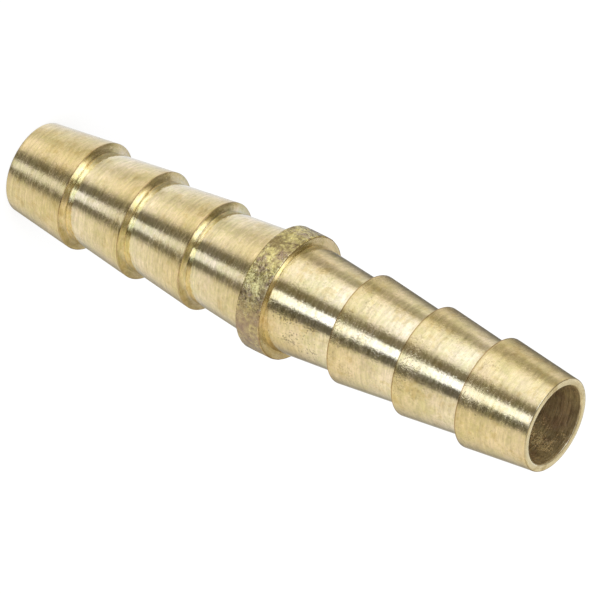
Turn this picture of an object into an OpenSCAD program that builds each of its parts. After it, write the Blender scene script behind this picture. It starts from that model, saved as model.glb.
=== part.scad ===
// Hose mender: one brass bar turned into two barbed hose tails with a collar between them.
// It stands on the end face of one tail. Millimetres, +Z along the bore, z = 0 at that face.

/* [Collar] */
// Diameter of the raw bar that the collar keeps
collar_d = 12.7; // [11.8:0.1:16]
// Width of the collar
collar_w = 2.8; // [1.5:0.1:8]
// Bevel on both rims of the collar
collar_bevel = 0.12; // [0.04:0.01:0.4]

/* [Neck] */
// Length of the plain cone between the collar and the first barb
neck_len = 7.6; // [4:0.1:14]
// Diameter of that cone where it meets the collar
neck_top_d = 10.9; // [9.8:0.05:11.4]
// Diameter of that cone at the foot of the first barb
neck_foot_d = 9.5; // [9:0.05:10.4]

/* [Barbs] */
// Barbs on each tail
barb_count = 3; // [1:1:6]
// Diameter over the sharp crest of a barb
crest_d = 11.15; // [10.4:0.05:11.6]
// Diameter at the foot of a barb's cone
root_d = 9.4; // [9:0.05:10.2]
// Crest to crest, between the two barbs nearest to the collar
inner_pitch = 7.65; // [4:0.05:14]
// Crest to crest, between the barbs further out
outer_pitch = 7.4; // [4:0.05:14]
// Length of the step that falls from a crest to the cone behind it
step_run = 0.16; // [0.02:0.01:0.8]
// Radius in the corner at the foot of that step
root_fillet = 0.08; // [0.05:0.01:0.45]

/* [Tip] */
// Length of the last cone, from the outermost crest to the end face
tip_len = 7.45; // [4:0.05:14]
// Bevel on the outer rim of the end face
tip_bevel = 0.1; // [0.04:0.01:0.3]

/* [Bore] */
// Diameter of the drilled bore
bore_d = 7.94; // [5:0.02:8.6]
// Bevel at the two mouths of the bore
mouth_bevel = 0.13; // [0.04:0.01:0.25]

/* [Hidden] */
$fn = 96;

// Straight pieces that the rounded corner at a barb's foot is drawn with
fillet_parts = 4;
// How far the cutting shapes reach past a face
cut_past = 1;

bore_r = bore_d / 2;
root_r = root_d / 2;

// Places along a tail are measured from the collar's face, outwards
tail_len = crest_place(barb_count - 1) + tip_len;
half_len = collar_w / 2 + tail_len;

// Place of a barb's crest, where barb 0 is the one beside the collar
function crest_place(barb) =
    neck_len + (barb > 0 ? inner_pitch + (barb - 1) * outer_pitch : 0);

// Rounded corner, step and crest of a barb, for a cone that comes down to foot_r before it
function barb_points(place, foot_r) = concat(
    [for (part = [0:fillet_parts])
        let (turn = 90 * part / fillet_parts)
        [foot_r + root_fillet * (1 - cos(turn)), place - step_run - root_fillet * (1 - sin(turn))]],
    [[crest_d / 2, place]]);

// Outline of one tail from the collar's face to the end face
tail_points = concat(
    [[neck_top_d / 2, 0]],
    [for (barb = [0:barb_count - 1])
        each barb_points(crest_place(barb), barb == 0 ? neck_foot_d / 2 : root_r)],
    [[root_r, tail_len - tip_bevel], [root_r - tip_bevel, tail_len]]);

// Outline of one half of the mender, as radius and height above the middle of the collar
half_points = concat(
    [[collar_d / 2, collar_w / 2 - collar_bevel], [collar_d / 2 - collar_bevel, collar_w / 2]],
    [for (point = tail_points) point + [0, collar_w / 2]]);

// The same outline for the other half, which runs from its end face back to the collar
other_half_points = [for (i = [len(half_points) - 1:-1:0])
    [half_points[i][0], -half_points[i][1]]];

// The turned outside, as one solid bar
module turned_bar() {
    rotate_extrude()
        polygon(concat([[0, -half_len]], other_half_points, half_points, [[0, half_len]]));
}

// The bevel that opens the bore at its upper mouth
module bore_mouth() {
    translate([0, 0, half_len - mouth_bevel])
        cylinder(h = mouth_bevel + cut_past, r1 = bore_r, r2 = bore_r + mouth_bevel + cut_past);
}

// The bore from end to end, with its two mouths
module bore() {
    cylinder(h = 2 * (half_len + cut_past), r = bore_r, center = true);
    bore_mouth();
    mirror([0, 0, 1]) bore_mouth();
}

module mender() {
    color([0.80, 0.68, 0.38])
        translate([0, 0, half_len])
            difference() {
                turned_bar();
                bore();
            }
}

mender();
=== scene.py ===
import math

import bpy
from mathutils import Matrix, Vector


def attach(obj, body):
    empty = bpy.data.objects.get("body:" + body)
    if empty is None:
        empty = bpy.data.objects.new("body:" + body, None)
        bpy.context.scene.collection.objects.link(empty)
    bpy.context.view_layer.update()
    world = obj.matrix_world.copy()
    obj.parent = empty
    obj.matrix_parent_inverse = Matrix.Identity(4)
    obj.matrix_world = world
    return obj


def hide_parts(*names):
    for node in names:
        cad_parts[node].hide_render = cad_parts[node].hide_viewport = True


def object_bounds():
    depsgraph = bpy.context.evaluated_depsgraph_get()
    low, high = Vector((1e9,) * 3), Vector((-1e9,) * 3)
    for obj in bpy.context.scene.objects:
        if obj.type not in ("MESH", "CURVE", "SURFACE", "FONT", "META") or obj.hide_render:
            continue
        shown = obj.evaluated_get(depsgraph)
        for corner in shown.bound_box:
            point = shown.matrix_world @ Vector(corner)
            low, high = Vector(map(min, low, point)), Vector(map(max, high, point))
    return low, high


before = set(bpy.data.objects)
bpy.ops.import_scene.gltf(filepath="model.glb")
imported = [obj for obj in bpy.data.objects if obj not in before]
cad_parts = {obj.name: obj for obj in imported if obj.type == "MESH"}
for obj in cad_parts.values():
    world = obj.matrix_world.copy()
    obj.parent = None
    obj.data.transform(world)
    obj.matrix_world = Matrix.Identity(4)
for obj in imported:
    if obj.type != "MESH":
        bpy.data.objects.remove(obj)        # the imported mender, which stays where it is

scene = bpy.context.scene
mm = 0.001
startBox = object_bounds()   # the box of the imported mender, which gives the sizes and the floor's level
middle = (startBox[0] + startBox[1]) / 2

# The photo's view: from above one end, with a long lens. The mender stands on its end here, so the
# camera is rolled until the mender lies across the picture.
photoView = {
    "elevation": 29.78,      # degrees above the floor
    "roll": 116.47,          # degrees about the line of sight
    "distance": 539.36,      # mm from the camera to the middle of the mender
    "middleRight": -0.751,   # mm that the middle sits right of the picture's centre
    "middleUp": 0.403,       # mm that it sits above that centre
    "lens": 345.6,           # mm
    "sensor": 36,            # mm across
    "nearest": 50,           # mm from the camera, where the view begins
    "farthest": 20000,       # mm from the camera, where it ends
}


def makeCamera(spec):
    rise = math.radians(spec["elevation"])
    roll = math.radians(spec["roll"])
    back = Vector((0, -math.cos(rise), math.sin(rise)))     # from the mender to the camera
    level = Vector((1, 0, 0))
    upright = back.cross(level)
    right = math.cos(roll) * level + math.sin(roll) * upright
    up = -math.sin(roll) * level + math.cos(roll) * upright
    lens = bpy.data.cameras.new("Camera")
    lens.lens = spec["lens"]
    lens.sensor_width = spec["sensor"]
    lens.clip_start = spec["nearest"] * mm
    lens.clip_end = spec["farthest"] * mm
    camera = bpy.data.objects.new("Camera", lens)
    place = middle + mm * (spec["distance"] * back - spec["middleRight"] * right - spec["middleUp"] * up)
    camera.matrix_world = Matrix.Translation(place) @ Matrix((right, up, back)).transposed().to_4x4()
    scene.collection.objects.link(camera)
    scene.camera = camera


makeCamera(photoView)
print("camera placed")


# Small helpers for node trees: inputs take a value or another node's output
def addNode(tree, kind, inputs=None, **settings):
    node = tree.nodes.new(kind)
    for name, value in settings.items():
        setattr(node, name, value)
    for name, value in (inputs or {}).items():
        plug(tree, value, node.inputs[name])
    return node


def plug(tree, value, socket):
    if isinstance(value, bpy.types.NodeSocket):
        tree.links.new(value, socket)
    else:
        socket.default_value = value


def calc(tree, operation, *values):
    node = tree.nodes.new("ShaderNodeMath")
    node.operation = operation
    for slot, value in enumerate(values):
        plug(tree, value, node.inputs[slot])
    return node.outputs[0]


def vector(tree, x, y, z):
    return addNode(tree, "ShaderNodeCombineXYZ", {"X": x, "Y": y, "Z": z}).outputs[0]


def length(tree, x, y):
    node = addNode(tree, "ShaderNodeVectorMath", {0: vector(tree, x, y, 0.0)}, operation="LENGTH")
    return node.outputs["Value"]


def mixColours(tree, factor, first, second):
    node = addNode(tree, "ShaderNodeMix", {0: factor, 6: first, 7: second}, data_type="RGBA")
    return node.outputs[2]


def remap(tree, value, fromLow, fromHigh, toLow, toHigh, smooth=False):
    node = addNode(tree, "ShaderNodeMapRange", {
        "Value": value, "From Min": fromLow, "From Max": fromHigh, "To Min": toLow, "To Max": toHigh,
    })
    node.interpolation_type = "SMOOTHSTEP" if smooth else "LINEAR"
    return node.outputs[0]


def newSocket(tree, name, kind, direction="INPUT"):
    tree.interface.new_socket(name=name, in_out=direction, socket_type="NodeSocket" + kind)


# What is left of the whole when a share is taken away
def rest(tree, share):
    return calc(tree, "SUBTRACT", 1.0, share)


# 1 where both of two tests hold
def both(tree, first, second):
    return calc(tree, "MULTIPLY", first, second)


# Sizes of the mender in mm, as it is turned and drilled
mender = {
    "Collar Width": 2.8,
    "Collar Bevel": 0.12,
    "Neck Length": 7.6,
    "Neck Top Radius": 5.45,
    "Neck Foot Radius": 4.75,
    "Neck Corner": 0.015,       # the tool's nose radius in the corner between neck and collar
    "Inner Pitch": 7.65,
    "Outer Pitch": 7.4,
    "Crest Radius": 5.575,
    "Crest Rounding": 0.03,
    "Root Radius": 4.7,
    "Root Fillet": 0.01,
    "Step Run": 0.16,
    "Tip Bevel": 0.1,
    "Bore Radius": 3.97,
    "Mouth Bevel": 0.13,
    "Ring Spacing": 0.42,       # between rings of faces
    "Collar Spacing": 0.16,     # the same on the collar, which is uneven
    "Collar Dents": 0.035,      # depth of the dents in the raw bar
    "Bore Waves": 0.005,        # height of the rings that the drill leaves
}
menderCounts = {"Barb Count": 3, "Segments": 232, "Corner Steps": 4, "Seed": 4}
menderFinish = {
    "Face Paleness": 0.4,       # of the collar's two faces, a painted sheen, as a share of a polished foot's
    "Neck Shine": 0.65,         # the least that the neck of the upper tail shines
    "Tip Dullness": 0.65,       # share of the polish and painted sheen that the outermost cones lack
    "Rim Edge Shade": 0.984,          # painted edge shade of the end faces' outer rims, where a crest has 1
    "Dents per Metre": 900.0,
    "Waves per Metre": 1100.0,
}
# Limits that tell one surface from the next, each a little off the corner that it stands for
menderEdges = {
    "hair": 0.01 * mm,          # from a flat face
    "neckGap": 0.1 * mm,        # from the neck, on a face of the collar
    "collar": 0.97,             # of the collar's radius, beyond which everything is the collar's rim
    "collarBevel": 0.95,        # of the collar's bevels, which is the part that wears
    "mouthBevel": 0.6,          # of a mouth's bevel, which is the part that looks drilled
    "tipBevel": 0.99,           # of an end face's bevel, which is the part that gets the painted edge shade
}
# How the patterns of the lathe are drawn
menderPatterns = {
    "seedStep": 7.31,           # how far a seed moves both patterns
    "dentDetail": 3.0,
    "dentRange": (0.42, 0.68),  # noise where a dent begins, and where it is deepest
    "waveDetail": 1.0,
    "footFade": 0.07,           # share of the climb from foot to crest over which polish and painted sheen come in
    "footPolish": 0.2,          # what is left of both in the corner, which so stays darker: a painted shade
}


def storeNumber(tree, geometry, name, value, domain="POINT"):
    node = addNode(tree, "GeometryNodeStoreNamedAttribute", {
        "Geometry": geometry, "Name": name, "Value": value,
    }, domain=domain)
    return node.outputs[0]


def readNumber(tree, name):
    return addNode(tree, "GeometryNodeInputNamedAttribute", {"Name": name}).outputs[0]


# Picks one of several numbers by a point's index
def pick(tree, index, *values):
    node = addNode(tree, "GeometryNodeIndexSwitch", data_type="FLOAT")
    for _ in values[2:]:
        node.index_switch_items.new()
    plug(tree, index, node.inputs["Index"])
    for slot, value in enumerate(values):
        plug(tree, value, node.inputs[slot + 1])
    return node.outputs[0]


# A group of corners of the outline, with how far each is rounded and its turn in the outline
def corners(tree, count, radius, height, rounding, turn):
    place = vector(tree, radius, height, 0.0)
    points = addNode(tree, "GeometryNodePoints", {"Count": count, "Position": place}).outputs[0]
    return storeNumber(tree, storeNumber(tree, points, "rounding", rounding), "turn", turn)


# Joins up the corners of both halves in their order, and rounds them
def drawOutline(tree, size, faceTop, neckEnd):
    index = tree.nodes.new("GeometryNodeInputIndex").outputs[0]
    endTurn = 100.0          # the end face comes after any number of barbs

    # Fixed corners of the upper half: collar rim, neck top, outer rim and mouth of the end face
    fixed = corners(
        tree, 4,
        pick(tree, index, size["Collar Radius"], size["Neck Top Radius"],
             size["Root Radius"], size["Bore Radius"]),
        pick(tree, index, faceTop, faceTop, size["Half Length"], size["Half Length"]),
        pick(tree, index, size["Collar Bevel"], size["Neck Corner"],
             size["Tip Bevel"], size["Mouth Bevel"]),
        pick(tree, index, 0.0, 1.0, endTurn, endTurn + 1.0),
    )

    # Foot and crest of each barb, from the collar outwards
    barb = calc(tree, "FLOOR", calc(tree, "DIVIDE", index, 2.0))
    isCrest = calc(tree, "MODULO", index, 2.0)
    isFirst = calc(tree, "LESS_THAN", barb, 0.5)
    innerPitches = calc(tree, "MINIMUM", barb, 1.0)
    outerPitches = calc(tree, "MAXIMUM", calc(tree, "SUBTRACT", barb, 1.0), 0.0)
    crestHeight = calc(tree, "MULTIPLY_ADD", innerPitches, size["Inner Pitch"], neckEnd)
    crestHeight = calc(tree, "MULTIPLY_ADD", outerPitches, size["Outer Pitch"], crestHeight)
    footHeight = calc(tree, "SUBTRACT", crestHeight, size["Step Run"])
    footRadius = pick(tree, isFirst, size["Root Radius"], size["Neck Foot Radius"])
    barbs = corners(
        tree, calc(tree, "MULTIPLY", size["Barb Count"], 2.0),
        pick(tree, isCrest, footRadius, size["Crest Radius"]),
        pick(tree, isCrest, footHeight, crestHeight),
        pick(tree, isCrest, size["Root Fillet"], size["Crest Rounding"]),
        calc(tree, "ADD", index, 2.0),
    )

    # The lower half is the upper one mirrored, and comes before it in the outline
    upper = tree.nodes.new("GeometryNodeJoinGeometry")
    tree.links.new(fixed, upper.inputs[0])
    tree.links.new(barbs, upper.inputs[0])
    flipped = addNode(tree, "GeometryNodeTransform", {"Geometry": upper.outputs[0], "Scale": (1, -1, 1)})
    mirroredTurn = calc(tree, "SUBTRACT", -1.0, readNumber(tree, "turn"))
    lower = storeNumber(tree, flipped.outputs[0], "turn", mirroredTurn)
    halves = tree.nodes.new("GeometryNodeJoinGeometry")
    tree.links.new(lower, halves.inputs[0])
    tree.links.new(upper.outputs[0], halves.inputs[0])
    outline = addNode(tree, "GeometryNodePointsToCurves", {
        "Points": halves.outputs[0], "Weight": readNumber(tree, "turn"),
    })
    closed = addNode(tree, "GeometryNodeSetSplineCyclic", {
        "Geometry": outline.outputs[0], "Cyclic": True,
    })
    rounded = addNode(tree, "GeometryNodeFilletCurve", {
        "Curve": closed.outputs[0], "Count": size["Corner Steps"], "Radius": readNumber(tree, "rounding"),
        "Limit Radius": True,
    }, mode="POLY")
    return rounded.outputs[0]


# Cuts long stretches into even pieces, and leaves the corners where they are
def cutOutline(tree, size, outline, place, collarEdge):
    index = tree.nodes.new("GeometryNodeInputIndex").outputs[0]
    following = addNode(tree, "GeometryNodeOffsetPointInCurve", {"Point Index": index, "Offset": 1})
    ahead = addNode(tree, "GeometryNodeFieldAtIndex", data_type="FLOAT_VECTOR")
    plug(tree, place, ahead.inputs["Value"])
    plug(tree, following.outputs["Point Index"], ahead.inputs["Index"])
    stretch = addNode(tree, "ShaderNodeVectorMath", operation="DISTANCE")
    plug(tree, place, stretch.inputs[0])
    plug(tree, ahead.outputs[0], stretch.inputs[1])
    radius = addNode(tree, "ShaderNodeSeparateXYZ", {"Vector": place}).outputs["X"]
    onCollar = calc(tree, "GREATER_THAN", radius, collarEdge)
    spacing = pick(tree, onCollar, size["Ring Spacing"], size["Collar Spacing"])
    divided = addNode(tree, "GeometryNodeSubdivideCurve", {
        "Curve": outline,
        "Cuts": calc(tree, "FLOOR", calc(tree, "DIVIDE", stretch.outputs["Value"], spacing)),
    })
    return divided.outputs[0]


# Sweeps the outline round a circle as wide as the bore
def sweepOutline(tree, size, outline):
    inwards = vector(tree, calc(tree, "MULTIPLY", size["Bore Radius"], -1.0), 0.0, 0.0)
    shifted = addNode(tree, "GeometryNodeTransform", {"Geometry": outline, "Translation": inwards})
    circle = addNode(tree, "GeometryNodeCurvePrimitiveCircle", {
        "Resolution": size["Segments"], "Radius": size["Bore Radius"],
    })
    levelCircle = addNode(tree, "GeometryNodeSetCurveNormal", {"Curve": circle.outputs[0]}, mode="Z_UP")
    swept = addNode(tree, "GeometryNodeCurveToMesh", {
        "Curve": levelCircle.outputs[0], "Profile Curve": shifted.outputs[0],
    })
    return swept.outputs[0]


# Writes down which surface each face is part of, how shiny each point is, its polish and painted sheen, and
# its wear and painted edge shade
def markSurfaces(tree, size, swept, place, faceTop, neckEnd, collarEdge):
    edges, patterns = menderEdges, menderPatterns

    # The raw bar of the collar, the drilled bore and the two end faces
    axes = addNode(tree, "ShaderNodeSeparateXYZ", {"Vector": place}).outputs
    radius = length(tree, axes["X"], axes["Y"])
    offMiddle = calc(tree, "ABSOLUTE", axes["Z"])
    barEnd = calc(tree, "SUBTRACT", faceTop, edges["hair"])
    atCollar = calc(tree, "GREATER_THAN", radius, collarEdge)
    onBar = both(tree, calc(tree, "LESS_THAN", offMiddle, barEnd), atCollar)
    boreEdge = calc(tree, "MULTIPLY_ADD", size["Mouth Bevel"], edges["mouthBevel"], size["Bore Radius"])
    inBore = calc(tree, "LESS_THAN", radius, boreEdge)
    marked = storeNumber(tree, swept, "raw bar", onBar, "FACE")
    marked = storeNumber(tree, marked, "drilled", inBore, "FACE")
    endStart = calc(tree, "SUBTRACT", size["Half Length"], edges["hair"])
    onEnd = calc(tree, "GREATER_THAN", offMiddle, endStart)
    marked = storeNumber(tree, marked, "end face", onEnd, "FACE")

    # Polish and a painted sheen that pales and cools the colour grow from a barb's crest to its foot, less
    # on the outermost cones, and both fade in the corner where the foot meets the next step, a painted
    # shade there
    climb = remap(tree, radius, size["Root Radius"], size["Crest Radius"], 0.0, 1.0)
    tailStart = calc(tree, "ADD", faceTop, edges["hair"])
    onTail = calc(tree, "GREATER_THAN", offMiddle, tailStart)
    lastCrest = calc(tree, "ADD", neckEnd, size["Inner Pitch"])
    furtherBarbs = calc(tree, "SUBTRACT", size["Barb Count"], 2.0)
    lastCrest = calc(tree, "MULTIPLY_ADD", furtherBarbs, size["Outer Pitch"], lastCrest)
    onTip = calc(tree, "GREATER_THAN", offMiddle, lastCrest)
    outside = both(tree, onTail, rest(tree, inBore))
    fromCorner = remap(tree, climb, 0.0, patterns["footFade"], patterns["footPolish"], 1.0)
    dullness = calc(tree, "MULTIPLY", onTip, size["Tip Dullness"])
    polishAndPaintedSheen = calc(tree, "MULTIPLY", rest(tree, climb), outside)
    polishAndPaintedSheen = calc(tree, "MULTIPLY", polishAndPaintedSheen, fromCorner)
    polishAndPaintedSheen = calc(tree, "MULTIPLY", polishAndPaintedSheen, rest(tree, dullness))

    # The two faces of the collar are somewhat paler than the crests, a painted sheen, but no smoother
    faceEdge = calc(tree, "ADD", size["Neck Top Radius"], edges["neckGap"])
    onFace = both(tree, calc(tree, "GREATER_THAN", offMiddle, barEnd),
                  calc(tree, "GREATER_THAN", radius, faceEdge))
    onFace = both(tree, onFace, rest(tree, onTail))
    paleFace = calc(tree, "MULTIPLY", onFace, size["Face Paleness"])
    marked = storeNumber(tree, marked, "polishAndPaintedSheen", calc(tree, "MAXIMUM", polishAndPaintedSheen, paleFace))

    # The neck of the upper tail shines right up to the collar
    onNeck = both(tree, calc(tree, "GREATER_THAN", axes["Z"], tailStart),
                  calc(tree, "LESS_THAN", axes["Z"], neckEnd))
    neckShine = calc(tree, "MULTIPLY", both(tree, onNeck, outside), size["Neck Shine"])
    marked = storeNumber(tree, marked, "shine", calc(tree, "MAXIMUM", polishAndPaintedSheen, neckShine))

    # Edge tone: a painted shade on the crests and somewhat less on the rim of an end face, and wear on both
    # rims of the collar
    rimReach = calc(tree, "MULTIPLY", size["Tip Bevel"], edges["tipBevel"])
    rimTop = calc(tree, "SUBTRACT", size["Half Length"], rimReach)
    rimEdge = calc(tree, "SUBTRACT", size["Root Radius"], rimReach)
    onRim = both(tree, calc(tree, "GREATER_THAN", offMiddle, rimTop),
                 calc(tree, "GREATER_THAN", radius, rimEdge))
    bevelStart = calc(tree, "MULTIPLY_ADD", size["Collar Bevel"], -edges["collarBevel"], faceTop)
    onBevel = both(tree, calc(tree, "GREATER_THAN", offMiddle, bevelStart), atCollar)
    wearAndEdgeShade = calc(tree, "MAXIMUM", calc(tree, "MULTIPLY", climb, onTail), onBevel)
    wearAndEdgeShade = calc(tree, "MAXIMUM", wearAndEdgeShade, calc(tree, "MULTIPLY", onRim, size["Rim Edge Shade"]))
    return storeNumber(tree, marked, "wearAndEdgeShade", wearAndEdgeShade), onBar, inBore


# Pushes in the dents of the raw bar and the waves of the drill
def dentSurfaces(tree, size, marked, place, onBar, inBore):
    patterns = menderPatterns
    height = addNode(tree, "ShaderNodeSeparateXYZ", {"Vector": place}).outputs["Z"]
    seed = calc(tree, "MULTIPLY", size["Seed"], patterns["seedStep"])
    dents = addNode(tree, "ShaderNodeTexNoise", {
        "Vector": place, "W": seed, "Scale": size["Dents per Metre"], "Detail": patterns["dentDetail"],
    }, noise_dimensions="4D").outputs[0]
    dents = remap(tree, dents, *patterns["dentRange"], 0.0, 1.0)
    waves = addNode(tree, "ShaderNodeTexNoise", {
        "W": calc(tree, "ADD", height, seed), "Scale": size["Waves per Metre"],
        "Detail": patterns["waveDetail"],
    }, noise_dimensions="1D").outputs[0]
    dentDepth = calc(tree, "MULTIPLY", size["Collar Dents"], dents)
    waveDepth = calc(tree, "MULTIPLY", size["Bore Waves"], waves)
    depth = calc(tree, "MULTIPLY", onBar, dentDepth)
    depth = calc(tree, "MULTIPLY_ADD", inBore, waveDepth, depth)
    outward = tree.nodes.new("GeometryNodeInputNormal").outputs["Normal"]
    push = addNode(tree, "ShaderNodeVectorMath", {
        0: outward, "Scale": calc(tree, "MULTIPLY", depth, -1.0),
    }, operation="SCALE")
    uneven = addNode(tree, "GeometryNodeSetPosition", {"Geometry": marked, "Offset": push.outputs[0]})
    return uneven.outputs[0]


def buildLathe(materials):
    tree = bpy.data.node_groups.new("Turned Mender", "GeometryNodeTree")
    newSocket(tree, "Geometry", "Geometry")
    for name in ["Half Length", "Collar Radius", *mender, *menderFinish]:
        newSocket(tree, name, "Float")
    for name in menderCounts:
        newSocket(tree, name, "Int")
    newSocket(tree, "Geometry", "Geometry", "OUTPUT")
    size = tree.nodes.new("NodeGroupInput").outputs
    place = tree.nodes.new("GeometryNodeInputPosition").outputs[0]
    faceTop = calc(tree, "MULTIPLY", size["Collar Width"], 0.5)
    neckEnd = calc(tree, "ADD", faceTop, size["Neck Length"])
    collarEdge = calc(tree, "MULTIPLY", size["Collar Radius"], menderEdges["collar"])

    outline = drawOutline(tree, size, faceTop, neckEnd)
    outline = cutOutline(tree, size, outline, place, collarEdge)
    swept = sweepOutline(tree, size, outline)
    marked, onBar, inBore = markSurfaces(tree, size, swept, place, faceTop, neckEnd, collarEdge)
    uneven = dentSurfaces(tree, size, marked, place, onBar, inBore)

    # The mender stands on its lower end face, and each surface gets its brass
    standing = addNode(tree, "GeometryNodeTransform", {
        "Geometry": uneven, "Translation": vector(tree, 0.0, 0.0, size["Half Length"]),
    })
    smooth = addNode(tree, "GeometryNodeSetShadeSmooth", {"Geometry": standing.outputs[0]})
    real = addNode(tree, "GeometryNodeRealizeInstances", {"Geometry": smooth.outputs[0]})
    dressed = real.outputs[0]
    for selection, material in [
        (True, "turned"), (readNumber(tree, "end face"), "endFaces"),
        (readNumber(tree, "raw bar"), "rawBar"), (readNumber(tree, "drilled"), "drilled"),
    ]:
        dressed = addNode(tree, "GeometryNodeSetMaterial", {
            "Geometry": dressed, "Selection": selection, "Material": materials[material],
        }).outputs[0]
    result = tree.nodes.new("NodeGroupOutput")
    tree.links.new(dressed, result.inputs[0])
    return tree


def makeMender(materials):
    tree = buildLathe(materials)
    blank = bpy.data.objects.new("blank", bpy.data.meshes.new("blank"))
    scene.collection.objects.link(blank)
    lathe = blank.modifiers.new("Lathe", "NODES")
    lathe.node_group = tree
    values = {name: value * mm for name, value in mender.items()}
    values["Half Length"] = (startBox[1].z - startBox[0].z) / 2
    values["Collar Radius"] = (startBox[1].x - startBox[0].x) / 2
    values.update(menderFinish)
    values.update(menderCounts)
    for item in tree.interface.items_tree:
        if item.in_out == "INPUT" and item.name in values:
            lathe[item.identifier] = values[item.name]
    blank.modifiers.new("Flat Faces Stay Flat", "WEIGHTED_NORMAL")
    depsgraph = bpy.context.evaluated_depsgraph_get()
    mesh = bpy.data.meshes.new_from_object(blank.evaluated_get(depsgraph), depsgraph=depsgraph)
    bpy.data.objects.remove(blank)
    piece = bpy.data.objects.new("turned_mender", mesh)
    scene.collection.objects.link(piece)
    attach(piece, "root")
    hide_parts("mender")
    return piece


# Shader groups that the brass surfaces share
def newGroup(name, inputs, outputs):
    tree = bpy.data.node_groups.new(name, "ShaderNodeTree")
    for label, kind in inputs:
        newSocket(tree, label, kind)
    for label, kind in outputs:
        newSocket(tree, label, kind, "OUTPUT")
    given = tree.nodes.new("NodeGroupInput").outputs
    result = tree.nodes.new("NodeGroupOutput").inputs
    return tree, given, result


def noise(tree, place, scale, detail, roughness=0.5):
    node = addNode(tree, "ShaderNodeTexNoise", {
        "Vector": place, "Scale": scale, "Detail": detail, "Roughness": roughness,
    })
    return node.outputs[0]


# 1 around one place, falling to 0 at its reach from this share of it on
fallStart = 0.45


def nearness(tree, place, centre, reach):
    away = addNode(tree, "ShaderNodeVectorMath", {0: place, 1: centre}, operation="DISTANCE")
    share = calc(tree, "DIVIDE", away.outputs["Value"], reach)
    return remap(tree, share, fallStart, 1.0, 1.0, 0.0, smooth=True)


# Marks that a tool leaves round the axis, on cones and on flat faces alike: short flecks and long rings.
# The rings are the flecks' pattern with fewer breaks round the axis and fewer marks along it.
markPattern = {
    "fleckDetail": 2.0, "ringDetail": 3.0, "roughness": 0.6, "ringBreaks": 0.25, "ringMarks": 0.8,
}


def toolMarksGroup():
    pattern = markPattern
    tree, given, result = newGroup("tool marks", [
        ("Place", "Vector"), ("Marks per Metre", "Float"), ("Breaks per Metre", "Float"),
    ], [("Flecks", "Float"), ("Rings", "Float")])
    axes = addNode(tree, "ShaderNodeSeparateXYZ", {"Vector": given["Place"]}).outputs
    outward = length(tree, axes["X"], axes["Y"])
    along = calc(tree, "MULTIPLY", calc(tree, "ADD", axes["Z"], outward), given["Marks per Metre"])
    acrossX = calc(tree, "MULTIPLY", axes["X"], given["Breaks per Metre"])
    acrossY = calc(tree, "MULTIPLY", axes["Y"], given["Breaks per Metre"])
    fleckPlace = vector(tree, acrossX, acrossY, along)
    ringPlace = addNode(tree, "ShaderNodeVectorMath", {
        0: fleckPlace, 1: (pattern["ringBreaks"], pattern["ringBreaks"], pattern["ringMarks"]),
    }, operation="MULTIPLY").outputs[0]
    flecks = noise(tree, fleckPlace, 1.0, pattern["fleckDetail"], pattern["roughness"])
    rings = noise(tree, ringPlace, 1.0, pattern["ringDetail"], pattern["roughness"])
    plug(tree, flecks, result["Flecks"])
    plug(tree, rings, result["Rings"])
    return tree


# Small pits that gather in patches within reach of one place. A pit is where its noise tops an edge,
# and the edge is lower in a patch.
pitPattern = {
    "detail": 1.0,
    "patchCount": 0.12,          # patches for each pit
    "patchRange": (0.35, 0.6),   # noise where a patch begins, and where it is full
    "betweenPatches": 0.2,       # how full it is between patches
    "edge": 0.76,
    "edgeDrop": 0.2,             # how much lower the edge is in a full patch
    "softness": 0.15,            # noise above the edge at which a pit is full
}


def pitsGroup():
    pattern = pitPattern
    tree, given, result = newGroup("pits", [
        ("Place", "Vector"), ("Pits per Metre", "Float"), ("Amount", "Float"),
        ("Centre", "Vector"), ("Reach", "Float"),
    ], [("Mask", "Float")])
    patchCount = calc(tree, "MULTIPLY", given["Pits per Metre"], pattern["patchCount"])
    spots = noise(tree, given["Place"], given["Pits per Metre"], pattern["detail"])
    patches = noise(tree, given["Place"], patchCount, pattern["detail"])
    patches = remap(tree, patches, *pattern["patchRange"], pattern["betweenPatches"], 1.0)
    near = nearness(tree, given["Place"], given["Centre"], given["Reach"])
    gathered = calc(tree, "MULTIPLY", calc(tree, "MULTIPLY", patches, near), given["Amount"])
    edge = calc(tree, "MULTIPLY", gathered, -pattern["edgeDrop"])
    edge = calc(tree, "ADD", edge, pattern["edge"])
    above = calc(tree, "SUBTRACT", spots, edge)
    plug(tree, remap(tree, above, 0.0, pattern["softness"], 0.0, 1.0, smooth=True), result["Mask"])
    return tree


# A colour that drifts between two tones in soft patches, with stains of a third, one placed patch of it,
# and a fine grain
driftPattern = {
    "patches": {"detail": 3.0, "roughness": 0.65},
    "grain": {"detail": 2.0, "roughness": 0.6},
    "stains": {"detail": 4.0, "roughness": 0.7},
    "grainCount": 7.0,           # grains for each patch
    "stainCount": 1.6,           # stains for each patch
    "patchShare": 0.55,          # of the blend of both tones
    "grainShare": 0.45,          # of the same
    "contrast": 4.0,
    "stainShift": (0.4, 0.7, 0.2),       # m, so that stains lie apart from patches
    "stainRange": (0.5, 0.68),           # noise where a stain begins, and where it is full
    "placedRange": (0.3, 0.6),           # the same round the place of the one large placed patch of stain and painted shade
    "leastPlaced": 0.2,                  # how full that patch is between its spots
}


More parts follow.
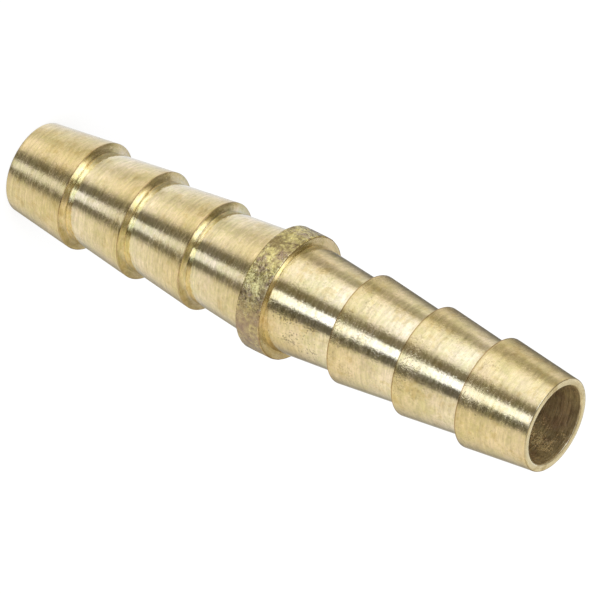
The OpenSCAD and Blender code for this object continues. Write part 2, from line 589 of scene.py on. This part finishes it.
def driftGroup():
    pattern = driftPattern
    tree, given, result = newGroup("colour drift", [
        ("Place", "Vector"), ("Patches per Metre", "Float"), ("Contrast", "Float"),
        ("Light Tone", "Color"), ("Dark Tone", "Color"), ("Stain And Shade Tone", "Color"), ("Stains", "Float"),
        ("Stain And Shade Centre", "Vector"), ("Stain And Shade Reach", "Float"), ("Stain And Shade Amount", "Float"),
    ], [("Color", "Color"), ("Grain", "Float")])
    grainCount = calc(tree, "MULTIPLY", given["Patches per Metre"], pattern["grainCount"])
    stainCount = calc(tree, "MULTIPLY", given["Patches per Metre"], pattern["stainCount"])
    patches = noise(tree, given["Place"], given["Patches per Metre"], **pattern["patches"])
    grain = noise(tree, given["Place"], grainCount, **pattern["grain"])
    blend = calc(tree, "ADD", calc(tree, "MULTIPLY", patches, pattern["patchShare"]),
                 calc(tree, "MULTIPLY", grain, pattern["grainShare"]))
    contrast = calc(tree, "MULTIPLY", given["Contrast"], pattern["contrast"])
    blend = calc(tree, "MULTIPLY_ADD", calc(tree, "SUBTRACT", blend, 0.5), contrast, 0.5)
    blend = addNode(tree, "ShaderNodeClamp", {0: blend}).outputs[0]
    elsewhere = addNode(tree, "ShaderNodeVectorMath", {0: given["Place"], 1: pattern["stainShift"]})
    stains = noise(tree, elsewhere.outputs[0], stainCount, **pattern["stains"])
    near = nearness(tree, given["Place"], given["Stain And Shade Centre"], given["Stain And Shade Reach"])
    placedStainAndShade = remap(tree, stains, *pattern["placedRange"], pattern["leastPlaced"], 1.0)
    placedStainAndShade = calc(tree, "MULTIPLY", placedStainAndShade, near)
    placedStainAndShade = calc(tree, "MULTIPLY", placedStainAndShade, given["Stain And Shade Amount"])
    stains = remap(tree, stains, *pattern["stainRange"], 0.0, 1.0, smooth=True)
    stains = calc(tree, "MULTIPLY", stains, given["Stains"])
    stains = calc(tree, "MAXIMUM", stains, placedStainAndShade)
    toned = mixColours(tree, blend, given["Light Tone"], given["Dark Tone"])
    plug(tree, mixColours(tree, stains, toned, given["Stain And Shade Tone"]), result["Color"])
    plug(tree, grain, result["Grain"])
    return tree


toolMarks, pits, drift = toolMarksGroup(), pitsGroup(), driftGroup()

# Each surface: tones, places, reaches and depths in mm, and counts per metre
turned = {
    "lightTone": (0.80, 0.62, 0.365), "darkTone": (0.65, 0.54, 0.25), "patches": 420, "contrast": 0.9,
    "stainAndShadeTone": (0.6, 0.44, 0.18), "stains": 0.7,
    # The placed patch darkens the neck beside the collar: a painted shade
    "stainAndShadeCentre": (5.4, 0.9, 35.4), "stainAndShadeReach": 5.3, "stainAndShadeAmount": 1.1,
    "marks": 4300, "breaks": 1500, "fleckDepth": 0.006, "ringDepth": 0.003, "grainDepth": 0.004,
    "fleckTone": 0.5, "ringTone": 0.65, "pits": 4800, "pitDepth": 0.004, "pitTone": 0.8,
    "pitAmount": 1.3, "wornSide": (1.0, -4.7, 44), "wornReach": 22,
    "pitAndGlintPatch": (3.5, -3.6, 36.2), "patchReach": 4.2, "patchAmount": 1.4, "patchTone": 0.6,
    # footTone is a painted sheen that pales and cools the feet and the collar's faces, edgeTone a painted
    # shade on crests and end rims
    "crestTone": (0.95, 0.93, 0.82), "footTone": (1.07, 1.14, 1.32), "edgeTone": (0.62, 0.52, 0.4),
    "smoothest": 0.18, "roughest": 0.26, "polishAndPaintedSheen": 0.125, "metallic": 1.0,
}
# The end faces: the turned brass with paler tones, a painted sheen
endFaces = {**turned, "lightTone": (0.99, 0.86, 0.57), "darkTone": (0.92, 0.77, 0.48)}
rawBar = {
    "lightTone": (0.76, 0.64, 0.245), "darkTone": (0.30, 0.22, 0.09), "patches": 340, "contrast": 1.8,
    "stainAndShadeTone": (0.365, 0.25, 0.165), "stains": 0.85,
    "stainAndShadeCentre": (5.4, -3.4, 31.5), "stainAndShadeReach": 6.0, "stainAndShadeAmount": 0.85,
    "marks": 3000, "breaks": 2600, "fleckDepth": 0.025, "ringDepth": 0.003, "grainDepth": 0.06,
    "fleckTone": 0.75, "ringTone": 0.3, "pits": 2200, "pitDepth": 0.02, "pitTone": 0.5,
    "pitAmount": 0.6, "wornSide": (0, 0, 31.5), "wornReach": 30,
    "pitAndGlintPatch": (0, 0, 31.5), "patchReach": 20, "patchAmount": 0.6, "patchTone": 0.5,
    "crestTone": (1, 1, 1), "footTone": (1, 1, 1), "edgeTone": (1.1, 0.98, 0.75),
    "smoothest": 0.23, "roughest": 0.42, "polishAndPaintedSheen": 0, "metallic": 1.0,
}
# The bore: its dark tones are a painted shade, and the patch near its mouth, whose pits lighten the colour,
# painted glints
drilled = {
    "lightTone": (0.61, 0.475, 0.225), "darkTone": (0.275, 0.197, 0.092), "patches": 250, "contrast": 0.9,
    "stainAndShadeTone": (0.36, 0.21, 0.12), "stains": 0.35,
    "stainAndShadeCentre": (-1.4, 3.7, 60.5), "stainAndShadeReach": 2.6, "stainAndShadeAmount": 0.8,
    "marks": 6500, "breaks": 1000, "fleckDepth": 0.006, "ringDepth": 0.01, "grainDepth": 0.003,
    "fleckTone": 0.3, "ringTone": 1.9, "pits": 7000, "pitDepth": 0.0, "pitTone": 1.0,
    "pitAmount": 0.0, "wornSide": (0, 0, 31.5), "wornReach": 60,
    "pitAndGlintPatch": (1.3, 3.7, 60.5), "patchReach": 3.0, "patchAmount": 1.8, "patchTone": 2.3,
    "crestTone": (1, 1, 1), "footTone": (1, 1, 1), "edgeTone": (1, 1, 1),
    "smoothest": 0.25, "roughest": 0.4, "polishAndPaintedSheen": 0, "metallic": 0.6,
}

# The same for all four
brassPattern = {
    "edgeToneFrom": 0.978,           # share of wear and painted edge shade at which an edge begins to change its tone
    "edgeToneFully": 0.99,           # the same, at which it has changed
    "fleckRange": (0.35, 0.65),  # flecks that are smoothest and roughest
    "ridgeRange": (0.5, 0.68),   # flecks that begin to stand up, and that stand up fully
    "lessPits": 0.7,             # share of the pits that shine takes away
    "lessRidges": 0.6,           # share of the ridges that it takes away
    "pitRoughness": 0.1,         # added in pits
}


def brass(name, spec):
    pattern = brassPattern
    material = bpy.data.materials.new(name)
    material.use_nodes = True
    tree = material.node_tree
    surface = tree.nodes["Principled BSDF"]
    place = tree.nodes.new("ShaderNodeTexCoord").outputs["Object"]

    def placed(group, values):
        node = addNode(tree, "ShaderNodeGroup", node_tree=group)
        plug(tree, place, node.inputs["Place"])
        for label, value in values.items():
            plug(tree, value, node.inputs[label])
        return node.outputs

    marks = placed(toolMarks, {"Marks per Metre": spec["marks"], "Breaks per Metre": spec["breaks"]})
    tone = placed(drift, {
        "Patches per Metre": spec["patches"], "Contrast": spec["contrast"], "Stains": spec["stains"],
        "Light Tone": (*spec["lightTone"], 1), "Dark Tone": (*spec["darkTone"], 1),
        "Stain And Shade Tone": (*spec["stainAndShadeTone"], 1), "Stain And Shade Amount": spec["stainAndShadeAmount"],
        "Stain And Shade Centre": [part * mm for part in spec["stainAndShadeCentre"]],
        "Stain And Shade Reach": spec["stainAndShadeReach"] * mm,
    })
    strayPits = placed(pits, {
        "Pits per Metre": spec["pits"], "Amount": spec["pitAmount"],
        "Centre": [part * mm for part in spec["wornSide"]], "Reach": spec["wornReach"] * mm,
    })
    patchPitsAndGlints = placed(pits, {
        "Pits per Metre": spec["pits"], "Amount": spec["patchAmount"],
        "Centre": [part * mm for part in spec["pitAndGlintPatch"]], "Reach": spec["patchReach"] * mm,
    })
    flecks = calc(tree, "SUBTRACT", marks["Flecks"], 0.5)
    rings = calc(tree, "SUBTRACT", marks["Rings"], 0.5)

    # Marks and pits lighten or darken the colour, feet have a painted sheen, and edges have their own tone:
    # a painted shade on crests and end rims, and a worn tone on the collar's rims
    wearAndEdgeShade = addNode(tree, "ShaderNodeAttribute", attribute_name="wearAndEdgeShade").outputs["Fac"]
    edge = remap(tree, wearAndEdgeShade, pattern["edgeToneFrom"], pattern["edgeToneFully"], 0.0, 1.0, smooth=True)
    polishAndPaintedSheen = addNode(tree, "ShaderNodeAttribute", attribute_name="polishAndPaintedSheen").outputs["Fac"]
    shine = addNode(tree, "ShaderNodeAttribute", attribute_name="shine").outputs["Fac"]
    fewerPits = calc(tree, "MULTIPLY_ADD", shine, -pattern["lessPits"], 1.0)
    strayMask = calc(tree, "MULTIPLY", strayPits["Mask"], fewerPits)
    shade = calc(tree, "MULTIPLY_ADD", flecks, spec["fleckTone"], 1.0)
    shade = calc(tree, "MULTIPLY_ADD", rings, spec["ringTone"], shade)
    # A tone above 1 lightens the pits instead, as the patch in the bore does: painted glints
    for mask, pitTone in [(strayMask, spec["pitTone"]), (patchPitsAndGlints["Mask"], spec["patchTone"])]:
        shade = calc(tree, "MULTIPLY", shade, calc(tree, "MULTIPLY_ADD", mask, pitTone - 1, 1.0))
    shaded = addNode(tree, "ShaderNodeVectorMath", {0: tone["Color"], "Scale": shade}, operation="SCALE")
    edgeTone = mixColours(tree, polishAndPaintedSheen, (*spec["crestTone"], 1), (*spec["footTone"], 1))
    edgeTone = mixColours(tree, edge, edgeTone, (*spec["edgeTone"], 1))
    edged = addNode(tree, "ShaderNodeVectorMath", {
        0: shaded.outputs[0], 1: edgeTone,
    }, operation="MULTIPLY")
    tree.links.new(edged.outputs[0], surface.inputs["Base Color"])

    # The metal is roughest in pits and at the crest of each barb
    rough = remap(tree, marks["Flecks"], *pattern["fleckRange"], spec["smoothest"], spec["roughest"])
    rough = calc(tree, "MULTIPLY_ADD", strayMask, pattern["pitRoughness"], rough)
    rough = calc(tree, "MULTIPLY_ADD", shine, -spec["polishAndPaintedSheen"], rough)
    tree.links.new(rough, surface.inputs["Roughness"])
    surface.inputs["Metallic"].default_value = spec["metallic"]

    # Flecks stand up as ridges, with the rings and the grain on top of them, and pits go down
    ridges = remap(tree, marks["Flecks"], *pattern["ridgeRange"], 0.0, 1.0, smooth=True)
    lowerRidges = calc(tree, "MULTIPLY_ADD", shine, -pattern["lessRidges"], 1.0)
    ridges = calc(tree, "MULTIPLY", ridges, lowerRidges)
    height = calc(tree, "MULTIPLY", ridges, spec["fleckDepth"])
    height = calc(tree, "MULTIPLY_ADD", rings, spec["ringDepth"], height)
    height = calc(tree, "MULTIPLY_ADD", tone["Grain"], spec["grainDepth"], height)
    height = calc(tree, "MULTIPLY_ADD", strayMask, -spec["pitDepth"], height)
    bump = addNode(tree, "ShaderNodeBump", {"Height": height, "Distance": mm, "Strength": 1.0})
    tree.links.new(bump.outputs[0], surface.inputs["Normal"])
    return material


materials = {
    "turned": brass("turned brass", turned),
    "endFaces": brass("end faces", endFaces),
    "rawBar": brass("raw bar", rawBar),
    "drilled": brass("drilled brass", drilled),
}
piece = makeMender(materials)
print("mender turned:", sum(len(face.vertices) - 2 for face in piece.data.polygons), "triangles")

# The studio that the brass reflects, as (degrees round from the camera, brightness, coolness). Steep is
# the ring lowest down, then come low, mid, upper and high. Nadir and zenith are even tones right below
# and right above.
studio = {
    "low": [
        (-180, 0.85), (-165, 0.5), (-154, 0.37, -0.1), (-140, 0.66), (-118, 0.93), (-96, 1.03),
        (-60, 1.0), (-51, 0.97), (-43, 0.16, -0.05), (-27, 0.15, -0.05), (-23, 1.75, 0.6), (-8, 1.75, 0.6),
        (-4.5, 0.22, -0.2), (12, 0.26, -0.2), (21, 1.1, 0.2), (33, 1.36, 0.3), (50, 1.38, 0.3),
        (66, 1.3, 0.2), (76, 1.0), (83, 0.53, -0.1), (97, 0.55, -0.1), (110, 0.96), (124, 0.76),
        (140, 0.4, -0.1), (150, 0.25, -0.1), (162, 0.2, -0.1), (180, 0.5),
    ],
    "steep": [
        (-180, 0.5, -0.2), (-166, 0.38, -0.3), (-150, 0.48), (-136, 0.78), (-118, 0.95), (-96, 1.0),
        (-62, 0.98), (-55, 0.88), (-43, 0.22, -0.1), (-32, 0.22, -0.1), (-24, 1.12, 0.35), (-10, 1.2, 0.35),
        (-4, 0.2, -0.1), (14, 0.23, -0.1), (28, 0.98), (40, 1.16), (54, 1.2), (68, 0.96), (84, 0.84),
        (100, 0.98, 0.1), (115, 1.04, 0.2), (140, 1.0, 0.2), (160, 0.92, 0.2), (180, 0.85),
    ],
    "mid": [
        (-180, 0.75), (-166, 0.45, -0.2), (-150, 0.4, -0.2), (-136, 0.66), (-118, 1.05, 0.15),
        (-96, 1.3, 0.4), (-62, 1.5, 0.5), (-55, 1.1, 0.6), (-43, 0.26, 0.2), (-36, 0.25, 0.2),
        (-27, 1.8, 1.9), (-8, 2.6, 1.9), (-3, 0.25, 0.3), (8, 0.35, 0.3), (15, 2.1, 1.6), (28, 2.3, 1.7),
        (46, 1.95, 1.4), (54, 1.85, 1.2), (66, 1.2, 0.9), (78, 0.7, 0.8), (90, 0.48, 0.8),
        (104, 0.56, 0.8), (122, 0.62, 0.8), (144, 0.64, 0.6), (166, 0.85, 0.5), (180, 0.75),
    ],
    "upper": [
        (-180, 0.8), (-174, 0.6, -0.1), (-166, 0.38, -0.35), (-140, 0.7, 0.3), (-96, 1.2, 0.6),
        (-60, 1.2, 0.6), (-40, 0.35, 0.3), (10, 0.35, 0.3), (20, 2.0, 1.2), (54, 2.0, 1.2),
        (76, 0.6, 0.4), (120, 0.35, 0.2), (160, 0.8, 0.1), (172, 0.8, 0.1), (180, 0.8),
    ],
    "high": [
        (-180, 0.55, -0.3), (-166, 0.6, -0.45), (-154, 0.58, -0.2), (-132, 0.85, 0.2), (-116, 1.1, 0.35),
        (-96, 1.25, 0.45), (-60, 1.2, 0.45), (-48, 0.75, 0.35), (-36, 0.4, 0.3), (-24, 0.5, 0.3),
        (-14, 0.85, 0.4), (-6, 0.7, 0.4), (2, 0.32, 0.3), (10, 0.45, 0.5), (17, 2.0, 1.3), (30, 2.6, 1.4),
        (50, 2.5, 1.4), (64, 2.1, 1.0), (74, 1.3, 0.5), (84, 0.75, 0.3), (94, 0.3, 0.2), (120, 0.25, 0.1),
        (150, 0.3, -0.1), (168, 0.33, -0.2), (180, 0.55, -0.3),
    ],
    "nadir": 0.25,
    "zenith": 0.35,
}
# Sine of the height above the horizon over which each takes over from what comes before it
studioHeights = {
    "steep": (-0.45, -0.54), "nadir": (-0.8, -0.95), "mid": (0.2, 0.29), "upper": (0.43, 0.49),
    "high": (0.54, 0.6), "zenith": (0.76, 0.88),
}
greenCoolness = 0.25         # share of the coolness that green takes, where blue takes all


# A ring of light and dark panels round the mender, as a colour
def panels(tree, turn, stops):
    colours = []
    for _, level, *cool in stops:
        cool = cool[0] if cool else 0.0
        colours.append((level, level * (1 + greenCoolness * cool), level * (1 + cool)))
    top = max(max(colour) for colour in colours)
    ramp = tree.nodes.new("ShaderNodeValToRGB")
    plug(tree, turn, ramp.inputs[0])
    elements = ramp.color_ramp.elements
    while len(elements) < len(stops):
        elements.new(0.5)
    for element, (angle, *_), colour in zip(elements, stops, colours):
        element.position = angle / 360 + 0.5
        element.color = [part / top for part in colour] + [1]
    scaled = addNode(tree, "ShaderNodeVectorMath", {0: ramp.outputs[0], "Scale": top}, operation="SCALE")
    return scaled.outputs[0]


def makeWorld(spec):
    world = bpy.data.worlds.new("studio")
    scene.world = world
    world.use_nodes = True
    tree = world.node_tree
    tree.nodes.clear()
    direction = tree.nodes.new("ShaderNodeTexCoord").outputs["Generated"]
    axes = addNode(tree, "ShaderNodeSeparateXYZ", {"Vector": direction}).outputs
    leftwards = calc(tree, "MULTIPLY", axes["X"], -1.0)
    turn = calc(tree, "ARCTAN2", leftwards, calc(tree, "MULTIPLY", axes["Y"], -1.0))
    turn = calc(tree, "MULTIPLY_ADD", turn, 0.5 / math.pi, 0.5)
    light = panels(tree, turn, spec["low"])
    for name, (start, end) in studioHeights.items():
        if name in ("nadir", "zenith"):
            other = (*[spec[name]] * 3, 1)
        else:
            other = panels(tree, turn, spec[name])
        share = remap(tree, axes["Z"], start, end, 0.0, 1.0, smooth=True)
        light = mixColours(tree, share, light, other)
    rays = tree.nodes.new("ShaderNodeLightPath").outputs
    light = mixColours(tree, rays["Is Glossy Ray"], (1, 1, 1, 1), light)
    glow = addNode(tree, "ShaderNodeBackground", {"Color": light, "Strength": 1.0})
    result = tree.nodes.new("ShaderNodeOutputWorld")
    tree.links.new(glow.outputs[0], result.inputs[0])


# White paper that keeps a faint shadow of the mender
paperSheet = {
    "halfWidth": 2000,           # mm
    "below": 0.02,               # mm under the mender
    "tone": (0.9, 0.9, 0.9), "roughness": 0.9,
    "glow": 0.75,                # share of its look that is plain white light of its own
}


def makeFloor(spec):
    reach = spec["halfWidth"] * mm
    level = startBox[0].z - spec["below"] * mm
    sheetCorners = [(x * reach, y * reach, level) for x, y in [(-1, -1), (1, -1), (1, 1), (-1, 1)]]
    mesh = bpy.data.meshes.new("floor")
    mesh.from_pydata(sheetCorners, [], [(0, 1, 2, 3)])
    paper = bpy.data.materials.new("white paper")
    paper.use_nodes = True
    tree = paper.node_tree
    surface = tree.nodes["Principled BSDF"]
    surface.inputs["Base Color"].default_value = (*spec["tone"], 1)
    surface.inputs["Roughness"].default_value = spec["roughness"]
    surface.inputs["Specular IOR Level"].default_value = 0
    rays = tree.nodes.new("ShaderNodeLightPath").outputs
    seen = calc(tree, "MAXIMUM", calc(tree, "MAXIMUM", rays["Is Camera Ray"], rays["Is Glossy Ray"]),
                rays["Is Transmission Ray"])
    white = addNode(tree, "ShaderNodeEmission", {"Color": (1, 1, 1, 1), "Strength": 1.0})
    mixed = addNode(tree, "ShaderNodeMixShader", {
        0: calc(tree, "MULTIPLY", seen, spec["glow"]), 1: surface.outputs[0], 2: white.outputs[0],
    })
    tree.links.new(mixed.outputs[0], tree.nodes["Material Output"].inputs[0])
    mesh.materials.append(paper)
    floor = bpy.data.objects.new("floor", mesh)
    floor.visible_glossy = False     # the brass shows the panels, which go on below the floor
    scene.collection.objects.link(floor)


softKey = {
    "place": (0, -550, 1200),    # mm, above the mender and somewhat towards the camera
    "width": 800,                # mm
    "power": 9,                  # W
}


def makeLamp(spec):
    lamp = bpy.data.lights.new("soft key", "AREA")
    lamp.size = spec["width"] * mm
    lamp.energy = spec["power"]
    key = bpy.data.objects.new("soft key", lamp)
    place = Vector([part * mm for part in spec["place"]])
    key.matrix_world = Matrix.Translation(place) @ place.to_track_quat("Z", "Y").to_matrix().to_4x4()
    key.visible_glossy = False       # the brass shows the panels in its place
    scene.collection.objects.link(key)


makeWorld(studio)
makeFloor(paperSheet)
makeLamp(softKey)
scene.view_settings.view_transform = "Standard"
print("studio lit")
